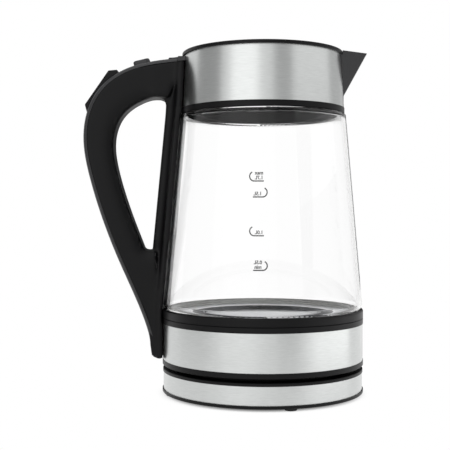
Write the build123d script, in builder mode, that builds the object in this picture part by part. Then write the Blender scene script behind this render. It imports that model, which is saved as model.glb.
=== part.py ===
"""Cordless glass kettle on its swivel power base.

Millimetres, +Z up. The origin is on the table, on the axis that the jug swivels about.
The spout points to +X and the handle to -X.
"""

import os
from math import cos, radians, sin, sqrt, tan

from build123d import *

os.makedirs("parts", exist_ok=True)

# Heights, stacked from the table up
foot_height = 2.0
base_lip_height = 2.4
base_band_height = 13.9
base_rim_height = 2.3
stand_gap = 3.0
jug_foot_height = 4.1
lower_band_height = 28.7
housing_lip_height = 4.3
seat_ring_height = 6.8
glass_height = 154.0
trim_height = 4.7
collar_band_height = 41.6
rim_height = 3.1

# Outside radii, and the small steps from them to the surfaces that show
base_radius = 80.0
base_band_step = 0.8
base_rim_step = 0.4
lower_band_step = 0.3
glass_foot_step = 0.4
collar_bottom_radius = 64.75
collar_lean = 2.15
glass_top_step = 1.45
trim_step = 0.45

# Walls and clearances
plastic_wall = 2.0
steel_sheet = 0.5
glass_wall = 2.6
edge_break = 0.4
fit_gap = 0.3
slip_gap = 0.1
pin_clearance = 0.05
run_gap = 0.4

# Screws
screw_radius = 1.5
screw_head_radius = 2.9
screw_head_height = 1.8
screw_length = 9.0
boss_radius = 4.2

# Power base
plateau_margin = 12.0
plateau_slope = 1.0
base_skirt_depth = 7.0
foot_radius = 4.6
foot_inset = 6.5
foot_recess = 1.2
foot_count = 4
first_foot_angle = -76.0
base_screw_inset = 8.5
connector_radius = 24.0
connector_flange = 3.0
stub_radius = 8.0
stub_bore = 5.0
stub_height = 13.0
guard_radius = 16.0
guard_height = 9.5
moat_depth = 1.0
contact_pin_radius = 2.2
contact_tube_radius = 11.6
contact_tube_height = 7.0
contact_wall = 0.8
shutter_height = 3.0
cord_radius = 3.4
gland_wall = 1.6
gland_lip = 1.2

# Bottom of the jug
spigot_height = 5.0
well_radius = 27.5
well_height = 12.0
control_headroom = 2.0
control_roof = 7.0
control_leg_radius = 3.0
control_leg_circle = 18.0
control_leg_count = 3
plate_flange_width = 14.0
register_height = 2.4
plate_sheet = 0.8
dish_margin = 35.0
dish_slope = 12.0
dish_depth = 4.0
dish_bend = 12.0
spreader_height = 3.0
spreader_margin = 2.0
element_margin = 12.0
element_radius = 3.4
element_flat = 0.2
element_arc = 320.0
terminal_radius = 1.6
terminal_length = 9.0
terminal_inset = 3.0
jug_screw_inset = 9.6
jug_screw_count = 3

# Glass and its seats
seat_round = 1.5
seal_height = 1.2
glass_spigot_step = 1.9
glass_foot_bend = 4.2
shoulder_fillet = 1.5
neck_step = 2.75
neck_height = 10.0

# Collar, spout and filter
mouth_wall = 3.7
rim_lip = 1.5
rim_fall = 0.45
spout_length = 21.1
spout_root = 17.7
spout_half_angle = 34.0
spout_slope = 0.55
spout_drop = 36.4
spout_tip_radius = 2.2
spout_wall = 1.8
spout_flange_width = 1.3
spout_flange_height = 0.5
filter_sheet = 1.2
filter_half_angle = 14.0
filter_height = 22.0
filter_columns = 7
filter_rows = 5
filter_pitch = 3.6
filter_slot = 2.4

# Lid and its hinge
lid_gap = 1.0
lid_skin = 2.6
lid_skirt_depth = 8.5
lid_skirt_inset = 2.2
lid_seal_height = 2.4
lid_seal_gap = 0.4
lid_cap_inset = 5.4
lid_cap_sheet = 0.6
lid_cap_crown = 2.4
hinge_inset = 11.9
barrel_radius = 2.6
barrel_half_length = 29.0
ear_width = 3.6
hinge_pin_radius = 1.2
hinge_back = 3.4
catch_half_width = 3.6
catch_reach = 9.5
catch_drop = 10.0
catch_height = 2.6
lid_spring_wall = 0.5
lid_spring_length = 9.0

# Handle
handle_reach = 62.1
grip_half_width = 13.0
spine_fillet = 4.0
palm_fillet = 6.0
spine_cover = 3.0
cover_seam = 0.25
post_depth = 12.3
post_foot_depth = 8.2
nose_half_width = 8.2
nose_round = 3.0
flange_half_width = 15.0
flange_depth = 4.2
handle_top_drop = 4.4
handle_foot_rise = 4.2
handle_foot_round = 3.2
upper_screw_drop = 30.9
lower_screw_rise = 18.4

# Lid button and latch in the top of the handle
button_out = 16.0
button_drop = 9.5
button_tilt = 13.5
button_length = 13.2
button_half_width = 6.5
button_proud = 4.0
button_corner = 2.8
button_crown = 1.4
button_travel = 3.0
button_flange = 1.4
button_flange_height = 1.8
stem_half_length = 2.2
stem_half_width = 3.0
latch_half_width = 5.5
latch_height = 4.0
latch_tail_drop = 21.6
latch_nose_drop = 14.9
latch_web = 6.0
latch_tail = 4.5
latch_spring_length = 5.2
latch_spring_radius = 1.6

# Power rocker in the back of the handle
rocker_out = 51.8
rocker_drop = 28.2
rocker_lean = 55.2
rocker_half_length = 16.4
rocker_flare = 4.2
rocker_flank = 5.0
rocker_depth = 11.0
rocker_belly = 10.0
rocker_half_width = 8.5
rocker_round = 1.0
rocker_pivot_depth = 9.0
rocker_pin_radius = 1.5
rocker_pin_grip = 2.5
rocker_pocket_depth = 14.0
switch_length = 18.0
switch_height = 7.5
switch_half_width = 7.0
plunger_radius = 1.2
plunger_height = 2.0
plunger_offset = 6.0
wire_radius = 1.6
wire_side = 4.5
wire_bend = 9.0
wire_turn = 4.0
wire_rise = 14.4
wire_arm_out = 10.0
wire_arm_drop = 26.6
wire_post_drop = 30.6

# Levels
z_tray = foot_height
z_base_band = z_tray + base_lip_height
z_base_rim = z_base_band + base_band_height
z_base_top = z_base_rim + base_rim_height
z_jug = z_base_top + stand_gap
z_lower_band = z_jug + jug_foot_height
z_housing_lip = z_lower_band + lower_band_height
z_seat_ring = z_housing_lip + housing_lip_height
z_glass = z_seat_ring + seat_ring_height
z_trim = z_glass + glass_height
z_collar = z_trim + trim_height
z_rim = z_collar + collar_band_height
z_top = z_rim + rim_height
z_tray_floor = z_tray + plastic_wall
z_skirt = z_base_rim - base_skirt_depth
z_connector = z_jug - plastic_wall
z_plate = z_seat_ring + register_height
z_seal = z_plate + plate_sheet
z_glass_foot = z_seal + seal_height
z_neck = z_trim + neck_height
z_mouth = z_neck + seal_height
z_spreader = z_plate - dish_depth - spreader_height
z_socket = z_jug + guard_height + 2 * run_gap
z_control = z_jug + stub_height + control_roof
z_hinge = z_top - barrel_radius

# Radii that follow from the outside ones
base_band_radius = base_radius - base_band_step
base_rim_radius = base_radius - base_rim_step
plateau_radius = base_radius - plateau_margin
foot_circle = base_radius - foot_inset
base_screw_circle = base_radius - base_screw_inset
jug_radius = base_radius
lower_band_radius = jug_radius - lower_band_step
jug_screw_circle = jug_radius - jug_screw_inset
plate_flange_bore = jug_radius - plate_flange_width
dish_radius = jug_radius - dish_margin
element_circle = dish_radius - element_margin
glass_bottom_radius = jug_radius - glass_foot_step
glass_top_radius = collar_bottom_radius + glass_top_step
neck_radius = collar_bottom_radius - neck_step
trim_radius = collar_bottom_radius + trim_step
collar_top_radius = collar_bottom_radius - collar_lean
rim_radius = collar_top_radius + rim_lip
mouth_radius = collar_top_radius - mouth_wall
spout_reach = collar_top_radius + spout_length
hinge_x = hinge_inset - mouth_radius
base_wall_radius = base_band_radius - steel_sheet - slip_gap
housing_radius = lower_band_radius - steel_sheet - slip_gap
cover_spigot_radius = housing_radius - plastic_wall - slip_gap
glass_spigot_radius = glass_bottom_radius - glass_spigot_step
register_radius = glass_spigot_radius
lid_radius = mouth_radius - lid_gap
lid_skirt_radius = lid_radius - lid_skirt_inset
lid_seal_radius = mouth_radius - lid_seal_gap
lid_cap_radius = lid_radius - lid_cap_inset
lid_back = hinge_x + hinge_back
collar_taper = collar_lean / collar_band_height


def collar_radius(z):
    """Outside radius of the steel collar at height z."""
    return collar_bottom_radius - collar_taper * (z - z_collar)


def turned(*outline, mode=Mode.ADD):
    """Turn a closed outline of (radius, height) points about the upright axis."""
    with BuildSketch(Plane.XZ) as section:
        with BuildLine():
            Polyline(*outline, close=True)
        make_face()
    revolve(section.sketch, axis=Axis.Z, mode=mode)


def ring(inner, outer, low, high, mode=Mode.ADD):
    """Plain ring between two radii and two heights."""
    turned((inner, low), (outer, low), (outer, high), (inner, high), mode=mode)


def rod(radius, start, end, mode=Mode.ADD):
    """Round rod between two points."""
    span = Vector(*end) - Vector(*start)
    with BuildSketch(Plane(origin=start, z_dir=span)) as section:
        Circle(radius)
    extrude(section.sketch, amount=span.length, mode=mode)


def side_slab(half_width, *outline, mode=Mode.ADD):
    """Slab of even width about the XZ plane from (x, z) points."""
    with BuildSketch(Plane.XZ) as section:
        with BuildLine():
            Polyline(*outline, close=True)
        make_face()
    extrude(section.sketch, amount=half_width, both=True, mode=mode)


def around(circle, angle, z):
    """Point on a circle about the upright axis."""
    return (circle * cos(radians(angle)), circle * sin(radians(angle)), z)


def spread(count, first_angle):
    """Angles of evenly spaced pieces."""
    return [first_angle + 360 * index / count for index in range(count)]


def screw(start, direction):
    """Pan-head screw: the head lies behind its seat at start, the shank runs along direction."""
    way = Vector(*direction)
    seat = Vector(*start)
    rod(screw_head_radius, tuple(seat - way * screw_head_height), tuple(seat))
    rod(screw_radius, tuple(seat), tuple(seat + way * screw_length))


def screw_hole(start, direction, length):
    """Hole for a screw's shank, from its seat."""
    way = Vector(*direction)
    seat = Vector(*start)
    rod(screw_radius + pin_clearance, tuple(seat), tuple(seat + way * length), mode=Mode.SUBTRACT)


def finish(piece, name):
    """Name a piece and write it."""
    piece.part.label = name
    export_step(piece.part, f"parts/{name}.step")


# Places that more than one piece of the base shares
up = (0, 0, 1)
back = (-1, 0, 0)
foot_angles = spread(foot_count, first_foot_angle)
base_screw_angles = spread(foot_count, first_foot_angle + 180 / foot_count)
z_base_seat = z_tray + screw_head_height + fit_gap
z_base_boss = z_base_seat + plastic_wall
gland_radius = cord_radius + gland_wall
gland_hole = gland_radius + pin_clearance
z_gland = (z_base_band + z_base_rim) / 2

# Power base: lower shell with its floor, wall, screw pads and connector rib
with BuildPart() as base_tray:
    turned(
        (0, z_tray),
        (base_radius - edge_break, z_tray),
        (base_radius, z_tray + edge_break),
        (base_radius, z_base_band),
        (base_wall_radius, z_base_band),
        (base_wall_radius, z_skirt - fit_gap),
        (base_wall_radius - plastic_wall, z_skirt - fit_gap),
        (base_wall_radius - plastic_wall, z_tray_floor),
        (0, z_tray_floor),
    )
    ring(connector_radius - plastic_wall, connector_radius, z_tray, z_connector - plastic_wall)
    for angle in base_screw_angles:
        pad_foot = around(base_screw_circle, angle, z_tray)
        rod(boss_radius, pad_foot, around(base_screw_circle, angle, z_base_boss))
    for angle in base_screw_angles:
        head_gap = screw_head_radius + fit_gap
        seat = around(base_screw_circle, angle, z_base_seat)
        rod(head_gap, around(base_screw_circle, angle, 0), seat, mode=Mode.SUBTRACT)
        screw_hole(seat, up, screw_length)
    for angle in foot_angles:
        recess = around(foot_circle, angle, z_tray + foot_recess)
        rod(foot_radius + pin_clearance, around(foot_circle, angle, 0), recess, mode=Mode.SUBTRACT)
    rod(gland_hole, (0, plateau_radius, z_gland), (0, base_radius, z_gland), mode=Mode.SUBTRACT)
finish(base_tray, "base_tray")

# Power base: steel band
with BuildPart() as base_band:
    ring(base_band_radius - steel_sheet, base_band_radius, z_base_band, z_base_rim)
    rod(gland_hole, (0, plateau_radius, z_gland), (0, base_radius, z_gland), mode=Mode.SUBTRACT)
finish(base_band, "base_band")

# Power base: upper shell with the plateau that the jug stands on
with BuildPart() as base_cover:
    turned(
        (base_wall_radius, z_base_rim),
        (base_rim_radius, z_base_rim),
        (base_rim_radius, z_base_top - edge_break),
        (base_rim_radius - edge_break, z_base_top),
        (plateau_radius + plateau_slope, z_base_top),
        (plateau_radius, z_jug),
        (connector_radius + slip_gap, z_jug),
        (connector_radius + slip_gap, z_connector),
        (plateau_radius - plastic_wall, z_connector),
        (plateau_radius - plastic_wall, z_base_top - plastic_wall),
        (base_wall_radius - plastic_wall, z_base_top - plastic_wall),
        (base_wall_radius - plastic_wall, z_skirt),
        (base_wall_radius, z_skirt),
    )
    for angle in base_screw_angles:
        top = around(base_screw_circle, angle, z_base_top - edge_break)
        rod(boss_radius, around(base_screw_circle, angle, z_base_boss), top)
    for angle in base_screw_angles:
        screw_hole(around(base_screw_circle, angle, z_base_seat), up, screw_length + fit_gap)
    rod(gland_hole, (0, plateau_radius + plateau_slope, z_gland), (0, base_radius, z_gland),
        mode=Mode.SUBTRACT)
finish(base_cover, "base_cover")

# Power base: rubber feet
with BuildPart() as base_feet:
    for angle in foot_angles:
        rod(foot_radius, around(foot_circle, angle, 0), around(foot_circle, angle, z_tray + foot_recess))
    chamfer(base_feet.edges().group_by(Axis.Z)[0], edge_break)
finish(base_feet, "base_feet")

# Power base: screws from below
with BuildPart() as base_screws:
    for angle in base_screw_angles:
        screw(around(base_screw_circle, angle, z_base_seat), up)
finish(base_screws, "base_screws")

# Power base: cord gland in the back of the band
with BuildPart() as cord_gland:
    rod(gland_radius + gland_lip, (0, plateau_radius, z_gland), (0, base_band_radius + gland_lip, z_gland))
    ring(0, base_band_radius, z_tray, z_base_top, mode=Mode.SUBTRACT)
    gland_inner_end = base_wall_radius - 2 * plastic_wall
    gland_outer_end = base_band_radius + gland_lip / 2
    rod(gland_radius, (0, gland_inner_end, z_gland), (0, gland_outer_end, z_gland))
    rod(cord_radius, (0, plateau_radius, z_gland), (0, base_radius + gland_lip, z_gland), mode=Mode.SUBTRACT)
finish(cord_gland, "cord_gland")

# Power base: plug block clamped between the two shells
with BuildPart() as base_connector:
    turned(
        (0, z_connector - plastic_wall),
        (connector_radius + connector_flange, z_connector - plastic_wall),
        (connector_radius + connector_flange, z_connector),
        (connector_radius, z_connector),
        (connector_radius, z_jug),
        (guard_radius, z_jug),
        (guard_radius, z_jug + guard_height - edge_break),
        (guard_radius - edge_break, z_jug + guard_height),
        (guard_radius - plastic_wall, z_jug + guard_height),
        (guard_radius - plastic_wall, z_jug - moat_depth),
        (stub_radius, z_jug - moat_depth),
        (stub_radius, z_jug + stub_height - edge_break),
        (stub_radius - edge_break, z_jug + stub_height),
        (stub_bore, z_jug + stub_height),
        (stub_bore, z_jug - moat_depth),
        (0, z_jug - moat_depth),
    )
finish(base_connector, "base_connector")

# Power base: contact pin and contact tube
z_contact = z_jug - moat_depth
with BuildPart() as base_contacts:
    ring(0, contact_pin_radius, z_contact, z_jug + stub_height - edge_break)
    ring(contact_tube_radius - contact_wall, contact_tube_radius, z_contact, z_jug + contact_tube_height)
finish(base_contacts, "base_contacts")

# Loose shutter ring round the plug block
with BuildPart() as contact_shutter:
    ring(guard_radius + run_gap, connector_radius - run_gap, z_jug, z_jug + shutter_height)
    chamfer(contact_shutter.edges().group_by(Axis.Z)[-1], edge_break)
finish(contact_shutter, "contact_shutter")

# Places that more than one piece of the jug's bottom shares
jug_screw_angles = spread(jug_screw_count, 0)
z_jug_seat = z_jug + screw_head_height + fit_gap
z_jug_boss = z_jug_seat + plastic_wall
z_lower_screw = z_jug + lower_screw_rise

# Jug: floor with its ring, the well for the plug and the screw pads
with BuildPart() as bottom_cover:
    turned(
        (well_radius, z_jug),
        (jug_radius - edge_break, z_jug),
        (jug_radius, z_jug + edge_break),
        (jug_radius, z_lower_band),
        (cover_spigot_radius, z_lower_band),
        (cover_spigot_radius, z_lower_band + spigot_height),
        (cover_spigot_radius - plastic_wall, z_lower_band + spigot_height),
        (cover_spigot_radius - plastic_wall, z_jug + plastic_wall),
        (well_radius + plastic_wall, z_jug + plastic_wall),
        (well_radius + plastic_wall, z_jug + well_height),
        (well_radius, z_jug + well_height),
    )
    for angle in jug_screw_angles:
        rod(boss_radius, around(jug_screw_circle, angle, z_jug), around(jug_screw_circle, angle, z_jug_boss))
    for angle in jug_screw_angles:
        head_gap = screw_head_radius + fit_gap
        seat = around(jug_screw_circle, angle, z_jug_seat)
        rod(head_gap, around(jug_screw_circle, angle, z_base_top), seat, mode=Mode.SUBTRACT)
        screw_hole(seat, up, screw_length)
finish(bottom_cover, "bottom_cover")

# Jug: screws from below
with BuildPart() as bottom_screws:
    for angle in jug_screw_angles:
        screw(around(jug_screw_circle, angle, z_jug_seat), up)
finish(bottom_screws, "bottom_screws")

# Jug: wide steel band
lower_screw_start = (-sqrt((housing_radius - plastic_wall) ** 2 - screw_head_radius**2), 0, z_lower_screw)
wire_inlet = (-plate_flange_bore, wire_side, z_jug + wire_rise)
wire_outlet = (-jug_radius - flange_depth, wire_side, z_jug + wire_rise)
with BuildPart() as lower_band:
    ring(lower_band_radius - steel_sheet, lower_band_radius, z_lower_band, z_housing_lip)
    screw_hole(lower_screw_start, back, screw_length)
    rod(wire_radius + slip_gap, wire_inlet, wire_outlet, mode=Mode.SUBTRACT)
finish(lower_band, "lower_band")

# Jug: cup behind the band, with the lip over it and the flange that carries the heating plate
with BuildPart() as lower_housing:
    turned(
        (housing_radius - plastic_wall, z_lower_band),
        (housing_radius, z_lower_band),
        (housing_radius, z_housing_lip),
        (jug_radius, z_housing_lip),
        (jug_radius, z_seat_ring - edge_break),
        (jug_radius - edge_break, z_seat_ring),
        (register_radius, z_seat_ring),
        (register_radius, z_plate),
        (plate_flange_bore, z_plate),
        (plate_flange_bore, z_plate - plastic_wall),
        (housing_radius - plastic_wall, z_plate - plastic_wall),
    )
    for angle in jug_screw_angles:
        top = around(jug_screw_circle, angle, z_plate - plastic_wall)
        rod(boss_radius, around(jug_screw_circle, angle, z_jug_boss), top)
    for angle in jug_screw_angles:
        screw_hole(around(jug_screw_circle, angle, z_jug_seat), up, screw_length + fit_gap)
    screw_hole(lower_screw_start, back, screw_length)
    rod(wire_radius + slip_gap, wire_inlet, wire_outlet, mode=Mode.SUBTRACT)
finish(lower_housing, "lower_housing")

# Jug: ring that the glass stands in
with BuildPart() as glass_seat_ring:
    turned(
        (register_radius + slip_gap, z_seat_ring),
        (jug_radius - edge_break, z_seat_ring),
        (jug_radius, z_seat_ring + edge_break),
        (jug_radius, z_glass),
        (register_radius + slip_gap, z_glass),
    )
    fillet(glass_seat_ring.edges().group_by(Axis.Z)[-1].sort_by(SortBy.RADIUS)[-1], seat_round)
finish(glass_seat_ring, "glass_seat_ring")

# Jug: seals under and over the glass
with BuildPart() as glass_seal:
    ring(glass_spigot_radius - glass_wall, glass_spigot_radius, z_seal, z_glass_foot)
finish(glass_seal, "glass_seal")

with BuildPart() as collar_seal:
    ring(neck_radius - glass_wall, neck_radius, z_neck, z_mouth)
finish(collar_seal, "collar_seal")

# Jug: glass cone that bends in to a spigot below, with a neck above
z_shoulder = z_trim - slip_gap
z_foot_bend = z_glass + glass_foot_bend
glass_lean = (glass_bottom_radius - glass_top_radius) / (z_shoulder - z_glass)
foot_bend_radius = glass_bottom_radius - glass_lean * glass_foot_bend
with BuildPart() as glass_jar:
    with BuildSketch(Plane.XZ):
        with BuildLine():
            Polyline(
                (foot_bend_radius, z_foot_bend),
                (glass_top_radius, z_shoulder),
                (neck_radius, z_shoulder),
                (neck_radius, z_neck),
                (neck_radius - glass_wall, z_neck),
                (neck_radius - glass_wall, z_shoulder - glass_wall),
                (glass_top_radius - glass_wall, z_shoulder - glass_wall),
                (foot_bend_radius - glass_wall, z_foot_bend),
            )
            Polyline(
                (glass_spigot_radius, z_glass),
                (glass_spigot_radius, z_glass_foot),
                (glass_spigot_radius - glass_wall, z_glass_foot),
                (glass_spigot_radius - glass_wall, z_glass),
            )
            for wall in (0, glass_wall):
                bend_top = (foot_bend_radius - wall, z_foot_bend)
                TangentArc(bend_top, (glass_spigot_radius - wall, z_glass), tangent=(glass_lean, -1))
        make_face()
    revolve(axis=Axis.Z)
    outer_shoulder = glass_jar.edges().filter_by(GeomType.CIRCLE).filter_by_position(
        Axis.Z, z_shoulder - slip_gap, z_shoulder + slip_gap).sort_by(SortBy.RADIUS)[-1]
    fillet(outer_shoulder, shoulder_fillet)
    inner_shoulder = glass_jar.edges().filter_by(GeomType.CIRCLE).filter_by_position(
        Axis.Z, z_shoulder - glass_wall - slip_gap, z_shoulder - glass_wall + slip_gap)
    fillet(inner_shoulder, shoulder_fillet)
finish(glass_jar, "glass_jar")

# Jug: pressed steel floor, its spreader and its heating element
with BuildPart() as heating_plate:
    turned(
        (0, z_plate - dish_depth),
        (dish_radius, z_plate - dish_depth),
        (dish_radius + dish_slope, z_plate),
        (register_radius, z_plate),
        (register_radius, z_plate + plate_sheet),
        (dish_radius + dish_slope, z_plate + plate_sheet),
        (dish_radius, z_plate - dish_depth + plate_sheet),
        (0, z_plate - dish_depth + plate_sheet),
    )
    rings = heating_plate.edges().filter_by(GeomType.CIRCLE)
    fillet(rings.filter_by(lambda edge: edge.radius < plate_flange_bore), dish_bend)
finish(heating_plate, "heating_plate")

with BuildPart() as heat_spreader:
    ring(0, dish_radius - spreader_margin, z_spreader, z_spreader + spreader_height)
finish(heat_spreader, "heat_spreader")

z_element = z_spreader + element_flat - element_radius
with BuildPart() as heating_element:
    with BuildSketch(Plane.XZ):
        with Locations((element_circle, z_element)):
            Circle(element_radius)
    revolve(axis=Axis.Z, revolution_arc=element_arc)
    split(bisect_by=Plane.XY.offset(z_spreader), keep=Keep.BOTTOM)
    for angle in (terminal_inset, element_arc - terminal_inset):
        low_end = around(element_circle, angle, z_element - terminal_length)
        rod(terminal_radius, around(element_circle, angle, z_element), low_end)
finish(heating_element, "heating_element")

# Jug: control block with the socket that drops over the plug, hung from the spreader by its legs
socket_radius = contact_tube_radius + 2 * run_gap
with BuildPart() as thermostat_control:
    turned(
        (0, z_jug + stub_height + control_headroom),
        (stub_radius + run_gap, z_jug + stub_height + control_headroom),
        (stub_radius + run_gap, z_socket),
        (socket_radius, z_socket),
        (socket_radius, z_jug + run_gap),
        (guard_radius - plastic_wall - run_gap, z_jug + run_gap),
        (guard_radius - plastic_wall - run_gap, z_socket),
        (connector_radius, z_socket),
        (connector_radius, z_jug + run_gap),
        (well_radius - slip_gap, z_jug + run_gap),
        (well_radius - slip_gap, z_control),
        (0, z_control),
    )
    for angle in spread(control_leg_count, 0):
        foot = around(control_leg_circle, angle, z_control - slip_gap)
        rod(control_leg_radius, foot, around(control_leg_circle, angle, z_spreader))
finish(thermostat_control, "thermostat_control")

with BuildPart() as control_contacts:
    pin_bore = contact_pin_radius + run_gap
    ring(pin_bore, pin_bore + contact_wall, z_jug + shutter_height, z_jug + stub_height + control_headroom)
    ring(socket_radius - run_gap, socket_radius, z_jug + shutter_height, z_socket)
finish(control_contacts, "control_contacts")


def beak(grow, rise=0.0):
    """Solid of the V-shaped beak, with its two faces moved outwards by grow and its top lifted by rise."""
    spread_angle = radians(spout_half_angle)
    shift = grow / sin(spread_angle)
    point = spout_tip_radius * (1 / sin(spread_angle) - 1)
    with BuildPart() as solid:
        for height in (z_top + rise, z_top - spout_drop - shift / spout_slope):
            tip = spout_reach + point + shift - spout_slope * (z_top - height)
            half = (tip - spout_root) * tan(spread_angle)
            with BuildSketch(Plane.XY.offset(height)) as section:
                with BuildLine():
                    Polyline((tip, 0), (spout_root, half), (spout_root, -half), close=True)
                make_face()
                fillet(section.vertices().sort_by(Axis.X)[-1], spout_tip_radius)
        loft(ruled=True)
    return solid.part


beak_outside = beak(0.0)
beak_channel = beak(-spout_wall, rise=rim_height)
beak_cut = beak(slip_gap, rise=rim_height)
beak_flange = beak(spout_flange_width)

# Places that the collar shares with the handle and the latch
z_latch_tail = z_top - latch_tail_drop
z_latch_nose = z_top - latch_nose_drop
z_upper_screw = z_top - upper_screw_drop
upper_screw_start = (-sqrt(mouth_radius**2 - screw_head_radius**2), 0, z_upper_screw)
latch_slot = latch_half_width + fit_gap
latch_slot_low = z_latch_nose - latch_height / 2 - fit_gap
latch_slot_high = z_latch_nose + latch_height / 2 + fit_gap
deck_front = hinge_x - barrel_radius - run_gap
latch_slot_side = [
    (-trim_radius, latch_slot_low),
    (deck_front, latch_slot_low),
    (deck_front, latch_slot_high),
    (-trim_radius, latch_slot_high),
]
pin_half_length = barrel_half_length + ear_width
pin_ends = [(hinge_x, -pin_half_length, z_hinge), (hinge_x, pin_half_length, z_hinge)]
frame_skin = steel_sheet + slip_gap

# Jug: black collar with the trim ring, the rim, the hinge deck and its two ears
with BuildPart() as collar_frame:
    turned(
        (neck_radius + slip_gap, z_trim),
        (trim_radius - edge_break, z_trim),
        (trim_radius, z_trim + edge_break),
        (trim_radius, z_collar),
        (collar_bottom_radius - frame_skin, z_collar),
        (collar_top_radius - frame_skin, z_rim),
        (rim_radius, z_rim),
        (rim_radius, z_top - rim_fall - edge_break),
        (rim_radius - edge_break, z_top - rim_fall),
        (mouth_radius, z_top),
        (mouth_radius, z_mouth),
        (neck_radius + slip_gap, z_mouth),
    )
    with BuildSketch(Plane.XY.offset(z_top)) as deck:
        Circle(mouth_radius + edge_break)
        with Locations((deck_front + mouth_radius, 0)):
            Rectangle(2 * mouth_radius, 2 * trim_radius, mode=Mode.SUBTRACT)
    extrude(deck.sketch, amount=-rim_height)
    for side in (1, -1):
        with BuildSketch(Plane.XZ.offset(-side * (barrel_half_length + fit_gap))) as ear:
            with Locations((hinge_x, z_hinge)):
                Circle(barrel_radius)
            with Locations(((hinge_x + deck_front - edge_break) / 2, z_hinge)):
                Rectangle(hinge_x - deck_front + edge_break, 2 * barrel_radius)
        extrude(ear.sketch, amount=-side * (ear_width - fit_gap))
    rod(hinge_pin_radius, *pin_ends, mode=Mode.SUBTRACT)
    side_slab(latch_slot, *latch_slot_side, mode=Mode.SUBTRACT)
    screw_hole(upper_screw_start, back, screw_length)
    add(beak_channel, mode=Mode.SUBTRACT)
finish(collar_frame, "collar_frame")

# Jug: steel collar
with BuildPart() as collar_band:
    turned(
        (collar_bottom_radius - steel_sheet, z_collar),
        (collar_bottom_radius, z_collar),
        (collar_top_radius, z_rim),
        (collar_top_radius - steel_sheet, z_rim),
    )
    side_slab(latch_slot, *latch_slot_side, mode=Mode.SUBTRACT)
    screw_hole(upper_screw_start, back, screw_length)
    add(beak_cut, mode=Mode.SUBTRACT)
finish(collar_band, "collar_band")

# Jug: beak with the thin flange that lies on the steel
with BuildPart() as spout:
    turned(
        (collar_bottom_radius + slip_gap, z_collar),
        (collar_bottom_radius + spout_flange_height, z_collar),
        (collar_top_radius + spout_flange_height, z_rim),
        (collar_top_radius + slip_gap, z_rim),
    )
    add(beak_flange, mode=Mode.INTERSECT)
    add(beak_outside)
    turned(
        (0, z_trim),
        (collar_bottom_radius - steel_sheet, z_trim),
        (collar_bottom_radius - steel_sheet, z_collar),
        (collar_top_radius - steel_sheet, z_rim),
        (collar_top_radius + slip_gap, z_rim),
        (rim_radius + slip_gap, z_rim),
        (rim_radius + slip_gap, z_top + rim_height),
        (0, z_top + rim_height),
        mode=Mode.SUBTRACT,
    )
    add(beak_channel, mode=Mode.SUBTRACT)
finish(spout, "spout")

# Jug: slotted filter behind the beak
z_filter = z_mouth + seal_height + filter_height / 2
with BuildPart() as spout_filter:
    with BuildSketch(Plane.XY.offset(z_filter - filter_height / 2)):
        Circle(mouth_radius - slip_gap)
        Circle(mouth_radius - slip_gap - filter_sheet, mode=Mode.SUBTRACT)
        with BuildLine():
            reach = 2 * mouth_radius
            left_side = around(reach, filter_half_angle, 0)[:2]
            right_side = around(reach, -filter_half_angle, 0)[:2]
            Polyline((0, 0), left_side, right_side, close=True)
        make_face(mode=Mode.INTERSECT)
    extrude(amount=filter_height)
    with BuildSketch(Plane.YZ.offset(mouth_radius / 2)) as slots:
        with Locations((0, z_filter)):
            with GridLocations(filter_pitch, filter_pitch, filter_columns, filter_rows):
                Rectangle(filter_slot, filter_slot)
    extrude(slots.sketch, amount=mouth_radius, mode=Mode.SUBTRACT)
finish(spout_filter, "spout_filter")

# Jug: hinge pin of the lid
with BuildPart() as hinge_pin:
    rod(hinge_pin_radius, *pin_ends)
finish(hinge_pin, "hinge_pin")


def lid_plan(radius, back_edge):
    """Round plan of the lid, cut straight at the hinge."""
    Circle(radius)
    with Locations((back_edge - radius, 0)):
        Rectangle(2 * radius, 2 * radius, mode=Mode.SUBTRACT)


# Lid: skin, skirt, hinge barrel and catch
z_skin = z_top - lid_skin
z_skirt_foot = z_top - lid_skirt_depth
with BuildPart() as lid_frame:
    with BuildSketch(Plane.XY.offset(z_skin)):
        lid_plan(lid_radius, lid_back)
    extrude(amount=lid_skin)
    chamfer(lid_frame.edges().filter_by(GeomType.CIRCLE).sort_by(Axis.Z)[-1], edge_break)
    with BuildSketch(Plane.XY.offset(z_skirt_foot)):
        lid_plan(lid_skirt_radius, lid_back)
        offset(amount=-plastic_wall, mode=Mode.SUBTRACT)
    extrude(amount=lid_skirt_depth - lid_skin)
    rod(barrel_radius, (hinge_x, -barrel_half_length, z_hinge), (hinge_x, barrel_half_length, z_hinge))
    side_slab(barrel_half_length, (hinge_x, z_hinge), (lid_back + edge_break, z_hinge),
              (lid_back + edge_break, z_top - edge_break), (hinge_x, z_top))
    side_slab(
        catch_half_width,
        (hinge_x - catch_height / 2, z_hinge),
        (hinge_x + catch_height / 2, z_hinge),
        (hinge_x + catch_height / 2, z_hinge - catch_drop),
        (hinge_x - catch_reach, z_hinge - catch_drop),
        (hinge_x - catch_reach, z_hinge - catch_drop + catch_height),
        (hinge_x - catch_height / 2, z_hinge - catch_drop + catch_height),
    )
    pin_bore = hinge_pin_radius + pin_clearance
    rod(pin_bore, *pin_ends, mode=Mode.SUBTRACT)
    spring_bore = pin_bore + lid_spring_wall + slip_gap
    spring_start = (hinge_x, barrel_half_length - lid_spring_length, z_hinge)
    rod(spring_bore, spring_start, (hinge_x, barrel_half_length, z_hinge), mode=Mode.SUBTRACT)
finish(lid_frame, "lid_frame")

# Lid: torsion spring in the end of the barrel
with BuildPart() as lid_spring:
    rod(spring_bore - slip_gap, spring_start, (hinge_x, barrel_half_length, z_hinge))
    rod(pin_bore, spring_start, (hinge_x, barrel_half_length, z_hinge), mode=Mode.SUBTRACT)
finish(lid_spring, "lid_spring")

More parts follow.
